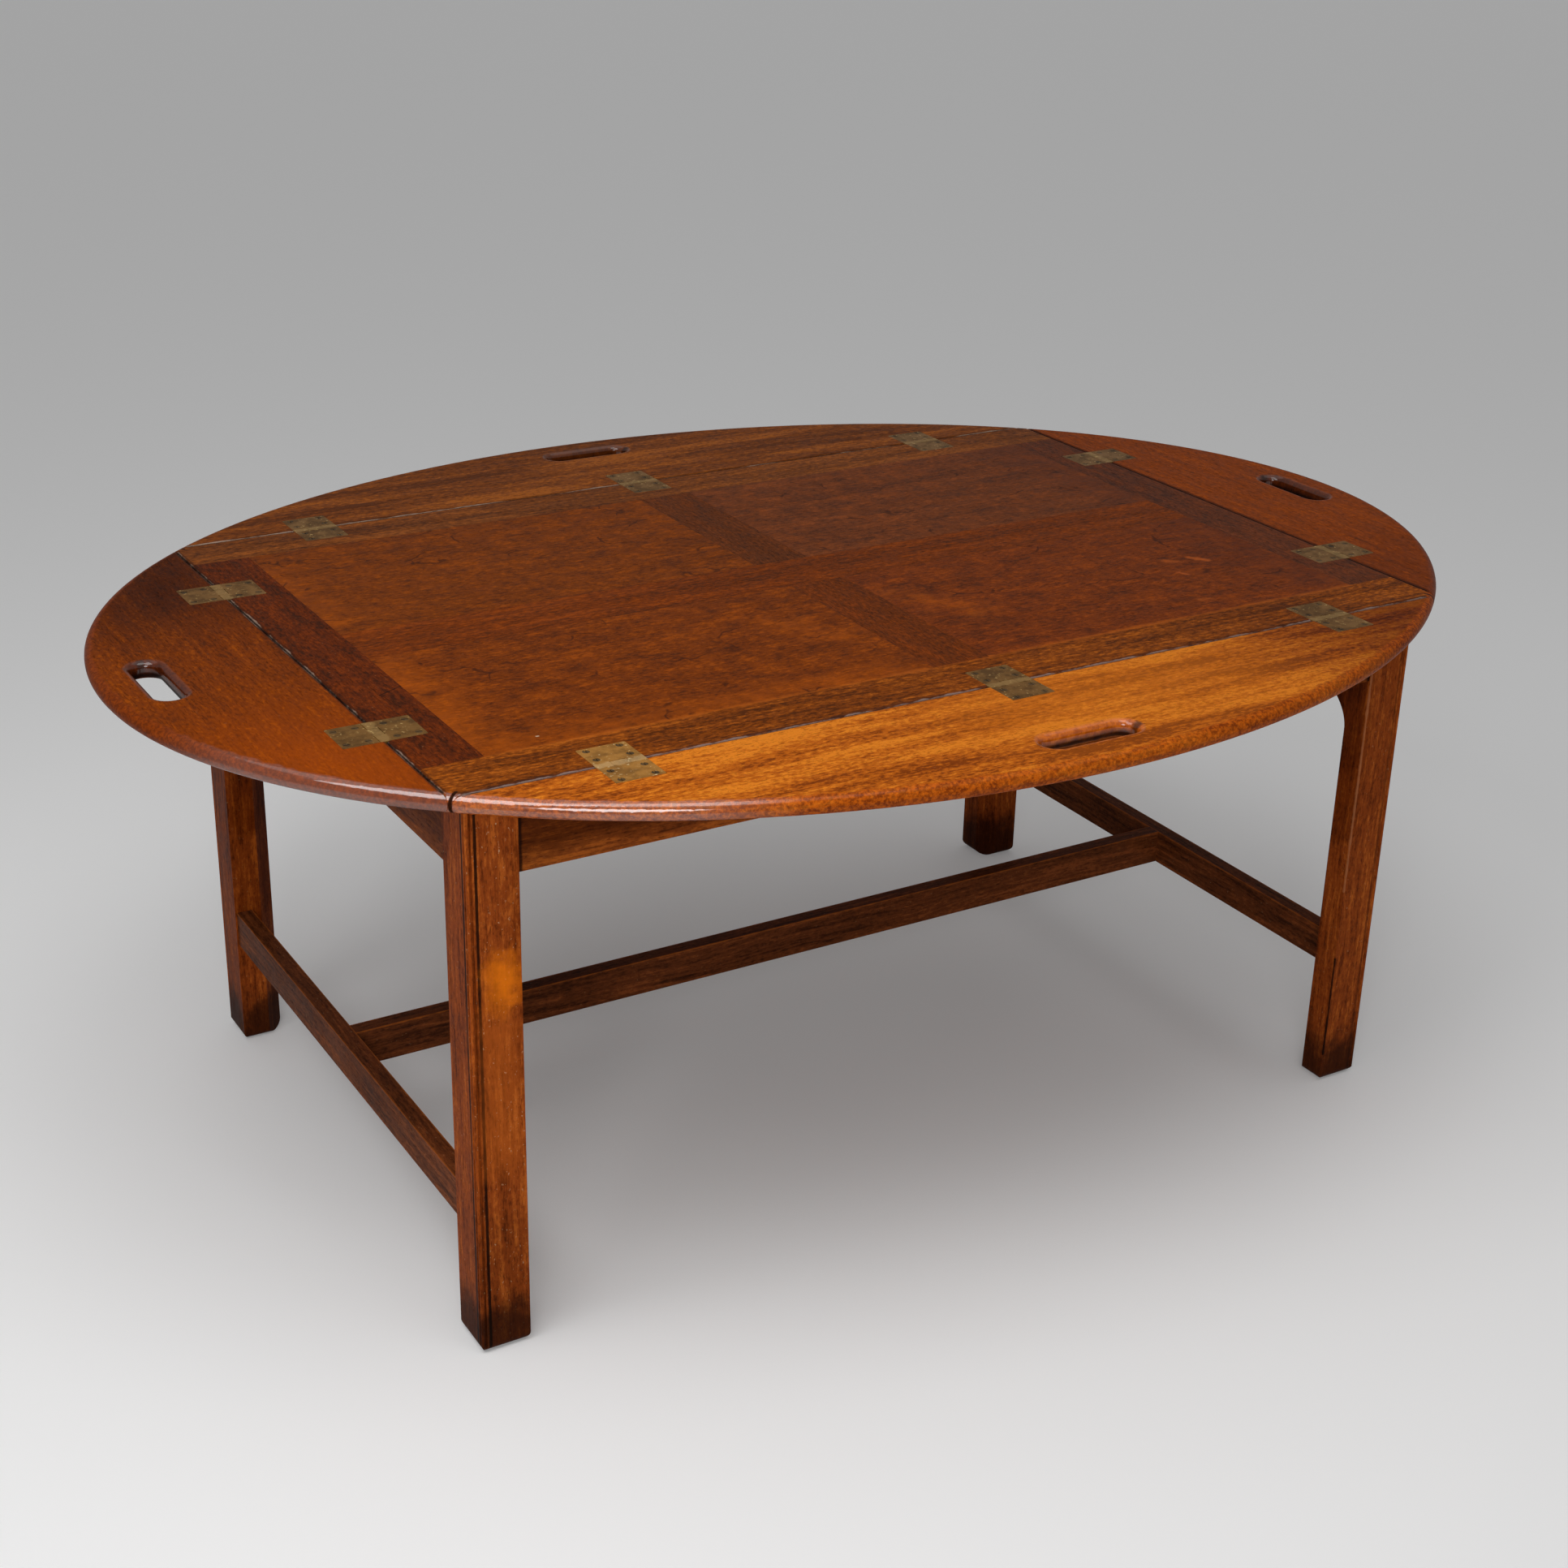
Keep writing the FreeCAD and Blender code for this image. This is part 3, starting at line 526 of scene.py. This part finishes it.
rubbed = dict(colour=(172, 82, 10), ragged=0.090)
dull_end = dict(colour=(88, 40, 20), strength=0.7,
                width=0.020, softness=0.070, ragged=0.060, ragged_scale=25.0)
panel_wear = {
    "front_left": [
        worn_panel_edge,
        top_mark((-0.41, -0.23), (-0.41, -0.06), strength=0.4,
                 width=0.016, softness=0.030, ragged_scale=60.0, **rubbed),
        top_mark((-0.38, -0.24), (-0.05, -0.24), colour=rubbed["colour"], strength=0.3,
                 width=0.010, softness=0.020, ragged=0.070, ragged_scale=60.0),
        top_mark((-0.09, -0.10), (-0.05, -0.16), strength=0.5,
                 width=0.004, softness=0.025, ragged_scale=70.0, **rubbed),
        top_mark((-0.365, -0.236), (-0.364, -0.236), colour=(206, 180, 150), strength=0.8,
                 width=0.0009, softness=0.0006, ragged=0.001, ragged_scale=200.0)],
    "front_right": [
        worn_panel_edge,
        top_mark((0.405, -0.23), (0.405, -0.03), **dull_end),
        top_mark((0.336, -0.128), (0.345, -0.140), colour=(196, 96, 34), strength=0.6,
                 width=0.003, softness=0.003, ragged=0.008, ragged_scale=120.0),
        top_mark((0.300, -0.156), (0.304, -0.164), colour=(186, 92, 40), strength=0.5,
                 width=0.002, softness=0.002, ragged=0.006, ragged_scale=150.0),
        top_mark((0.310, -0.125), (0.318, -0.132), colour=(180, 88, 30), strength=0.5,
                 width=0.003, softness=0.004, ragged=0.012, ragged_scale=120.0),
        top_mark((0.270, -0.222), (0.279, -0.224), colour=(176, 90, 36), strength=0.4,
                 width=0.002, softness=0.003, ragged=0.008, ragged_scale=150.0),
        top_mark((0.05, -0.09), (0.08, -0.16), strength=0.45,
                 width=0.004, softness=0.025, ragged_scale=70.0, **rubbed)],
    "back_left": [
        top_mark((-0.41, 0.06), (-0.41, 0.20), strength=0.3,
                 width=0.010, softness=0.030, ragged_scale=60.0, **rubbed)],
    "back_right": [top_mark((0.405, 0.03), (0.405, 0.23), **dull_end)]}
for node, shift, pale, body, dark in (
        ("front_left", 0.5, (146, 68, 8), (114, 50, 4), (84, 35, 3)),
        ("front_right", 1.3, (142, 64, 14), (112, 48, 9), (82, 34, 6)),
        ("back_left", 2.1, (144, 68, 8), (114, 52, 5), (86, 37, 4)),
        ("back_right", 3.3, (134, 68, 30), (107, 53, 22), (80, 38, 15))):
    dressed("tray_panel_" + node, mahogany(
        "panel_wood_" + node, "x", pale, body, dark, ribbon=0.25, streak=0.25, mottle=0.7, fleck=2.0,
        specks=0.5, shift=shift, marks=panel_wear[node], finish=old_polish))

# Cleats
# Two battens of plain mahogany screwed up under the tray's long rails from below. They drop inside the
# stand and stop the tray sliding.

for side, shift in (("front", 0.8), ("back", 1.6)):
    dressed("tray_cleat_" + side, mahogany(
        "cleat_wood_" + side, "x", (120, 66, 34), (92, 48, 24), (60, 30, 15), streak=0.4, shift=shift))

# Hinges
# Ten flush brass tray hinges. Their leaves are let into the wood and screwed down, gone olive with age, and
# the barrel across the joint is rubbed paler. Pins and springs are hidden under the leaves.


def make_tarnish():
    """Old brass: clouds of brown tarnish, pale rubbed spots and fine scratches."""
    tree, given, out = group_tree(
        "brass_tarnish",
        {"Place": "place", "Bright": "colour", "Aged": "colour", "Stain": "colour", "Rub": "value"},
        {"Colour": "colour", "Roughness": "value", "Height": "value"})
    cloud = drawn_noise(tree, given["Place"], 70.0, 70.0, detail=6.0, roughness=0.62)
    spots = drawn_noise(tree, given["Place"], 330.0, 330.0)
    stroked = place_maths(tree, "MULTIPLY", given["Place"], (90.0, 2600.0, 900.0))
    lines = noise(tree, stroked, 1.0, 2.0, roughness=0.55)
    rubbed_spots = maths(tree, "ADD", ranged(tree, spots, 0.60, 0.74), given["Rub"], clamp=True)
    colour = blended(tree, ranged(tree, cloud, 0.35, 0.62), given["Stain"], given["Aged"])
    colour = blended(tree, maths(tree, "MULTIPLY", rubbed_spots, 0.75), colour, given["Bright"])
    tree.links.new(colour, out["Colour"])
    tree.links.new(ranged(tree, cloud, 0.35, 0.65, 0.52, 0.40), out["Roughness"])
    tree.links.new(maths(tree, "ADD", spots, maths(tree, "MULTIPLY", lines, 0.4)), out["Height"])
    return tree


tarnish_group = make_tarnish()
barrel_rub = dict(width=0.0042, softness=0.0012, ragged=0.0090, ragged_scale=190.0)


def old_metal(name, bright, aged, stain, barrel=None):
    """Aged brass or steel; barrel is the start and end of a joint where hands have rubbed it paler."""
    material = bpy.data.materials.new(name)
    material.use_nodes = True
    tree = material.node_tree
    place = shader(tree, "ShaderNodeTexCoord").outputs["Object"]
    inputs = {"Place": place, "Bright": shade(*bright), "Aged": shade(*aged), "Stain": shade(*stain)}
    if barrel:
        inputs["Rub"] = maths(tree, "MULTIPLY", mark_mask(tree, place, *barrel, **barrel_rub), 0.25)
    tarnish = placed_group(tree, tarnish_group, inputs)
    relief = shader(tree, "ShaderNodeBump",
                    {"Strength": 0.15, "Distance": 0.0002, "Height": tarnish["Height"]})
    metal = tree.nodes["Principled BSDF"].inputs
    tree.links.new(tarnish["Colour"], metal["Base Color"])
    tree.links.new(tarnish["Roughness"], metal["Roughness"])
    tree.links.new(relief.outputs["Normal"], metal["Normal"])
    metal["Metallic"].default_value = 0.3
    metal["Specular IOR Level"].default_value = 0.1
    return material


leaf_colours = {"bright": (208, 172, 108), "aged": (118, 80, 27), "stain": (84, 55, 17)}
# The front-left hinges get a lighter copy of the same brass: painted light.
lit_leaf_colours = {"bright": (246, 222, 170), "aged": (170, 117, 46), "stain": (128, 86, 32)}
for side in outward:
    leaf_brass = old_metal("leaf_brass_" + side, barrel=joint_line(side), **leaf_colours)
    lit_brass = old_metal("lit_leaf_brass_" + side, barrel=joint_line(side), **lit_leaf_colours)
    for node in cad_nodes:
        if node.startswith("hinge_" + side + "_") and node.endswith("_leaf"):
            dressed(node, lit_brass if node.startswith("hinge_front_left") else leaf_brass)
    pin_brass = old_metal("pin_brass_" + side, (190, 150, 92), (140, 104, 52), (90, 66, 34))
    dressed("hinge_pins_" + side, pin_brass)
screw_brass = old_metal("screw_brass", (140, 110, 66), (92, 67, 34), (56, 41, 23))
for node in ("tray", "flap_front", "flap_back", "flap_left", "flap_right"):
    dressed("hinge_screws_" + node, screw_brass)
dressed("cleat_screws", old_metal("cleat_screw_steel", (150, 148, 144), (96, 94, 92), (58, 48, 42)))
dressed("hinge_springs", old_metal("spring_steel", (160, 158, 154), (110, 108, 106), (70, 62, 56)))

# Flaps
# Four boards that complete the oval, hinged to the tray, each with a hand-hold cut through and rounded
# over. The long ones show golden ribbon stripe; the rounded rim and the hand-holds are redder and darker
# from handling. A painted pool of light brightens the middle of the front flap and the front of the left
# flap, painted shade darkens one end of each flap, the hand-hold's lower edge is painted dark for the shade
# seen through the hole, and its two ends are painted darker.

handhold_inset = 0.043
handhold_reach = 0.031
handhold_tip = 0.0435
edge_depth = 0.004
tip_depth = 0.006
handhold_stain = dict(strength=0.85, width=0.0160, softness=0.0015, ragged=0.002, ragged_scale=90.0)
handhold_stain_colours = {"front": (206, 104, 20), "back": (96, 44, 12),
                          "left": (84, 32, 8), "right": (84, 34, 10)}
handhold_specks = dict(strength=0.65, width=0.0125, softness=0.0050, ragged=0.034, ragged_scale=190.0)
handhold_speck_colours = {"front": (128, 46, 8), "back": (60, 24, 6),
                          "left": (48, 17, 5), "right": (50, 18, 5)}
# Painted shade: the hand-hold's lower edge is dark, for the shade seen through the hole.
handhold_painted_shade = dict(colour=(14, 5, 3), strength=0.95,
                     width=0.0135, softness=0.0014, ragged=0.002, ragged_scale=90.0)
# The two ends of each hand-hold are painted darker.
handhold_dark_ends = dict(colour=(44, 18, 8), strength=0.8,
                width=0.0036, softness=0.0022, ragged=0.005, ragged_scale=160.0)
handhold_shine = dict(width=0.0172, softness=0.0008, ragged=0.0010, ragged_scale=90.0)
broad = dict(ragged=0.06, ragged_scale=12.0)
# Painted light: a brighter pool on the middle of the front flap and the front of the left flap.
painted_light_pool = {
    "front": [top_mark((0.00, -0.36), (0.16, -0.36), colour=(214, 120, 28), strength=0.35,
                       width=0.06, softness=0.08, **broad)],
    "left": [top_mark((-0.52, -0.20), (-0.48, -0.25), colour=(166, 70, 3), strength=0.55,
                      width=0.05, softness=0.14, **broad)]}
# Painted shade: one end of each flap is darker.
flap_end_painted_shade = {
    "front": top_mark((0.42, -0.34), (0.50, -0.25), colour=(168, 150, 120), strength=1.0, blend="MULTIPLY",
                      width=0.13, softness=0.11, **broad),
    "back": top_mark((-0.45, 0.32), (-0.40, 0.34), colour=(214, 205, 190), strength=0.3, blend="MULTIPLY",
                     width=0.02, softness=0.06, **broad),
    "left": top_mark((-0.52, 0.18), (-0.47, 0.30), colour=(128, 122, 130), strength=0.95, blend="MULTIPLY",
                     width=0.07, softness=0.12, **broad),
    "right": top_mark((0.50, -0.22), (0.47, -0.30), colour=(176, 168, 160), strength=0.6, blend="MULTIPLY",
                      width=0.04, softness=0.10, **broad)}


def handhold_line(side, reach, z):
    """The start and end of a line along a flap's hand-hold."""
    x, y = outward[side]
    if x:
        return tuple((x * (oval_x - handhold_inset), end, z) for end in (-reach, reach))
    return tuple((end, y * (oval_y - handhold_inset), z) for end in (-reach, reach))


def handled_flap(side):
    """A finish that adds the polish of the hand-hold's rounded edge to that of the rim."""
    def finish(tree, place, colour):
        colour = handled_rim(*rim_colours[side])(tree, place, colour)
        line = handhold_line(side, handhold_reach, top_z + edge_depth)
        shine = maths(tree, "MULTIPLY", mark_mask(tree, place, *line, **handhold_shine), 0.3)
        coat = tree.nodes["Principled BSDF"].inputs["Coat Weight"]
        tree.links.new(maths(tree, "MAXIMUM", coat.links[0].from_socket, shine), coat)
        return colour
    return finish


for side, grain, shift, pale, body, dark, ribbon, fleck in (
        ("front", "x", 0.1, (216, 124, 32), (180, 91, 18), (124, 55, 6), 1.0, 2.4),
        ("back", "x", 1.5, (160, 87, 26), (124, 63, 18), (88, 42, 10), 0.9, 2.4),
        ("left", "y", 2.5, (148, 68, 1), (116, 49, 1), (86, 35, 1), 0.25, 1.9),
        ("right", "y", 3.7, (164, 74, 4), (134, 57, 2), (100, 42, 2), 0.25, 1.9)):
    rounded_edge = handhold_line(side, handhold_reach, top_z - edge_depth)
    lower_edge = handhold_line(side, handhold_reach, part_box("flap_" + side)[0].z)
    marks = painted_light_pool.get(side, []) + [
        flap_end_painted_shade[side],
        mark(*rounded_edge, handhold_stain_colours[side], **handhold_stain),
        mark(*rounded_edge, handhold_speck_colours[side], **handhold_specks),
        mark(*lower_edge, **handhold_painted_shade)]
    marks += joint_marks(side)
    tips = handhold_line(side, handhold_tip, top_z)
    marks += [upright_mark(x, y, z, z - tip_depth, handhold_dark_ends) for x, y, z in tips]
    dressed("flap_" + side, mahogany(
        "flap_wood_" + side, grain, pale, body, dark, ribbon=ribbon, streak=0.45, mottle=0.2, fleck=fleck,
        specks=0.45, shift=shift, marks=marks, finish=handled_flap(side)))

# Floor
# A plain pale studio floor, wide enough to fill the picture behind the table.


def background_seen(tree):
    """1 where the camera or a reflection looks at the background, 0 for light that falls on the table."""
    path = tree.nodes.new("ShaderNodeLightPath").outputs
    seen = maths(tree, "MAXIMUM", path["Is Camera Ray"], path["Is Glossy Ray"])
    return maths(tree, "MAXIMUM", seen, path["Is Transmission Ray"])


floor_reach = 30.0
floor_outline = [(-floor_reach, -floor_reach, 0), (floor_reach, -floor_reach, 0),
                 (floor_reach, floor_reach, 0), (-floor_reach, floor_reach, 0)]
floor_mesh = bpy.data.meshes.new("floor")
floor_mesh.from_pydata(floor_outline, [], [(0, 1, 2, 3)])
floor = bpy.data.objects.new("floor", floor_mesh)
bpy.context.scene.collection.objects.link(floor)
floor_paint = bpy.data.materials.new("floor_paint")
floor_paint.use_nodes = True
paint = floor_paint.node_tree.nodes["Principled BSDF"].inputs
paint["Base Color"].default_value = (0.80, 0.80, 0.80, 1.0)
paint["Roughness"].default_value = 0.7
paint["Specular IOR Level"].default_value = 0.2
paint["Emission Color"].default_value = (0.12, 0.12, 0.12, 1.0)
floor_paint.node_tree.links.new(background_seen(floor_paint.node_tree), paint["Emission Strength"])
floor_mesh.materials.append(floor_paint)

# Studio light
# Soft lamps above the table's left end and its front, a lower one in front for the legs, and even light
# from overhead. The pale backdrop is seen by the camera and in reflections, and adds little light.

room = bpy.data.worlds.new("studio")
room.use_nodes = True
room_tree = room.node_tree
white = (1.0, 1.0, 1.0, 1.0)
fill = room_tree.nodes["Background"]
fill.inputs["Color"].default_value = white
fill.inputs["Strength"].default_value = 0.05
backdrop = shader(room_tree, "ShaderNodeBackground", {"Color": white, "Strength": 0.35})
choice = shader(room_tree, "ShaderNodeMixShader",
                {0: background_seen(room_tree), 1: fill.outputs[0], 2: backdrop.outputs[0]})
room_tree.links.new(choice.outputs[0], room_tree.nodes["World Output"].inputs["Surface"])
bpy.context.scene.world = room


def soft_lamp(name, place, aim, size, power, shape="DISK"):
    """A soft area lamp that shines from its place towards its aim."""
    lamp = bpy.data.lights.new(name, "AREA")
    lamp.shape = shape
    lamp.size = size
    lamp.energy = power
    holder = bpy.data.objects.new(name, lamp)
    holder.location = place
    holder.rotation_euler = (Vector(aim) - Vector(place)).to_track_quat("-Z", "Y").to_euler()
    bpy.context.scene.collection.objects.link(holder)


soft_lamp("window_left", place=(-1.115, -0.5, 1.6), aim=(-0.3, -0.3, 0.48), size=0.9, power=10.2,
          shape="SQUARE")
soft_lamp("over_the_front", place=(-0.2, -0.7, 2.0), aim=(-0.1, -0.2, 0.48), size=1.1, power=7.0)
soft_lamp("front", place=(-1.6, -2.4, 1.3), aim=(0.0, 0.0, 0.9), size=1.2, power=24.0)
overhead = bpy.data.lights.new("ceiling", "SUN")
overhead.energy = 0.75
overhead.angle = math.radians(80)
bpy.context.scene.collection.objects.link(bpy.data.objects.new("ceiling", overhead))

# Camera
# It stands in front of the table's left end and looks down at it, turned a little about its own axis.

camera_place = (-1.04329, -1.70672, 1.15322)
turn, tilt, roll = (math.radians(angle) for angle in (31.1893, 23.7010, 1.3742))
forward = Vector((math.sin(turn) * math.cos(tilt), math.cos(turn) * math.cos(tilt), -math.sin(tilt)))
level = Vector((math.cos(turn), -math.sin(turn), 0.0))
right = level * math.cos(roll) + level.cross(forward) * math.sin(roll)
pose = Matrix((right, right.cross(forward), -forward)).transposed().to_4x4()
lens = bpy.data.cameras.new("camera")
lens.sensor_width = 36.0
lens.lens = 54.83
camera = bpy.data.objects.new("camera", lens)
camera.matrix_world = Matrix.Translation(camera_place) @ pose
bpy.context.scene.collection.objects.link(camera)
bpy.context.scene.camera = camera
bpy.context.scene.view_settings.view_transform = "Standard"
